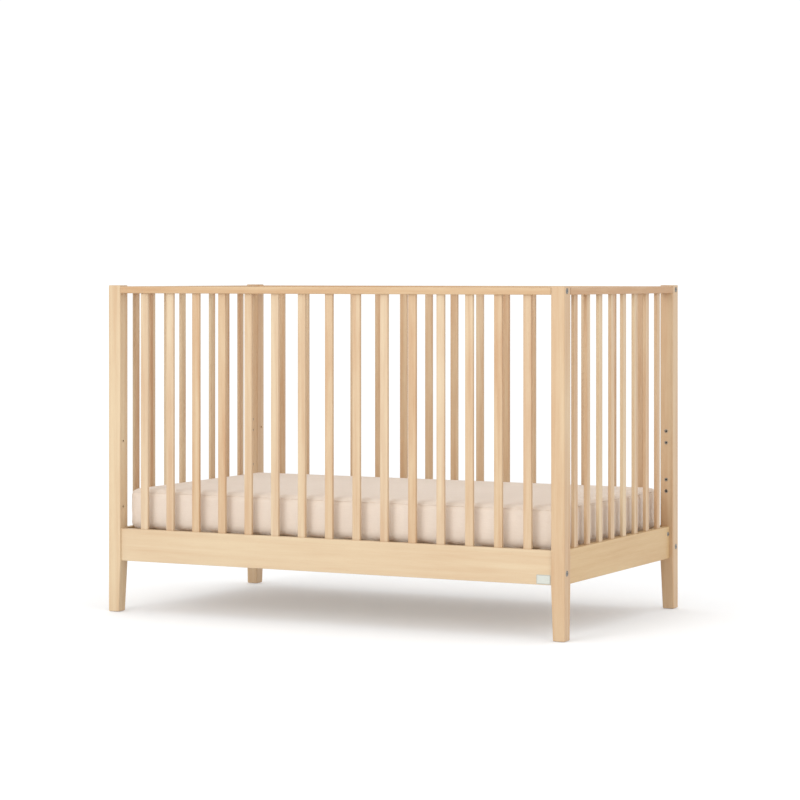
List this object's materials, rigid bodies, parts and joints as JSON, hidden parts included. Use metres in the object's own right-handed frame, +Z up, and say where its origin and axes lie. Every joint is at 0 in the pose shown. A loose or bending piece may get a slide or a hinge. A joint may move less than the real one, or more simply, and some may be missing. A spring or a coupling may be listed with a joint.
{
  "type": "baby crib",
  "caption": "Wooden baby crib with square tapered posts, flat slats on all sides, a height-adjustable slatted support and a mattress in a fitted sheet.",
  "frame": {"origin": "on the floor, under the middle of the crib", "axes": "+X runs to the right along the crib's length, +Y runs from the front to the back, +Z is up"},
  "size_m": [1.3766, 0.76, 0.896],
  "materials": {
    "pale_wood": "satin",
    "support_wood": "matte",
    "steel": "satin",
    "zinc": "satin",
    "white_plastic": "matte",
    "label": "satin",
    "mattress_fill": "matte",
    "sheet_cotton": "matte"
  },
  "bodies": {
    "crib_frame": {"post_front_left": "pale_wood", "post_front_right": "pale_wood", "post_back_left": "pale_wood", "post_back_right": "pale_wood", "top_rail_front": "pale_wood", "top_rail_right": "pale_wood", "top_rail_back": "pale_wood", "top_rail_left": "pale_wood", "bottom_rail_front": "pale_wood", "bottom_rail_right": "pale_wood", "bottom_rail_back": "pale_wood", "bottom_rail_left": "pale_wood", "front_slat_01": "pale_wood", "front_slat_02": "pale_wood", "front_slat_03": "pale_wood", "front_slat_04": "pale_wood", "front_slat_05": "pale_wood", "front_slat_06": "pale_wood", "front_slat_07": "pale_wood", "front_slat_08": "pale_wood", "front_slat_09": "pale_wood", "front_slat_10": "pale_wood", "front_slat_11": "pale_wood", "front_slat_12": "pale_wood", "front_slat_13": "pale_wood", "front_slat_14": "pale_wood", "front_slat_15": "pale_wood", "back_slat_01": "pale_wood", "back_slat_02": "pale_wood", "back_slat_03": "pale_wood", "back_slat_04": "pale_wood", "back_slat_05": "pale_wood", "back_slat_06": "pale_wood", "back_slat_07": "pale_wood", "back_slat_08": "pale_wood", "back_slat_09": "pale_wood", "back_slat_10": "pale_wood", "back_slat_11": "pale_wood", "back_slat_12": "pale_wood", "back_slat_13": "pale_wood", "back_slat_14": "pale_wood", "back_slat_15": "pale_wood", "left_end_slats": "pale_wood", "right_end_slats": "pale_wood", "rail_bolts": "steel", "barrel_nuts": "steel", "post_inserts": "zinc", "rail_dowels": "support_wood", "foot_glides": "white_plastic", "rail_label": "label", "support_bolts": "steel"},
    "mattress_support": {"support_rail_front": "support_wood", "support_rail_back": "support_wood", "support_end_left": "support_wood", "support_end_right": "support_wood", "support_slats": "support_wood", "hook_plates": "steel", "support_screws": "steel"},
    "mattress": {"mattress_core": "mattress_fill", "fitted_sheet": "sheet_cotton"}
  },
  "joints": [
    {"name": "support_height", "type": "slide", "parent": "crib_frame", "child": "mattress_support", "axis": [0, 0, 1], "range_m": [0, 0.268]},
    {"name": "mattress_lift", "type": "slide", "parent": "mattress_support", "child": "mattress", "axis": [0, 0, 1], "range_m": [0, 0.75]}
  ]
}
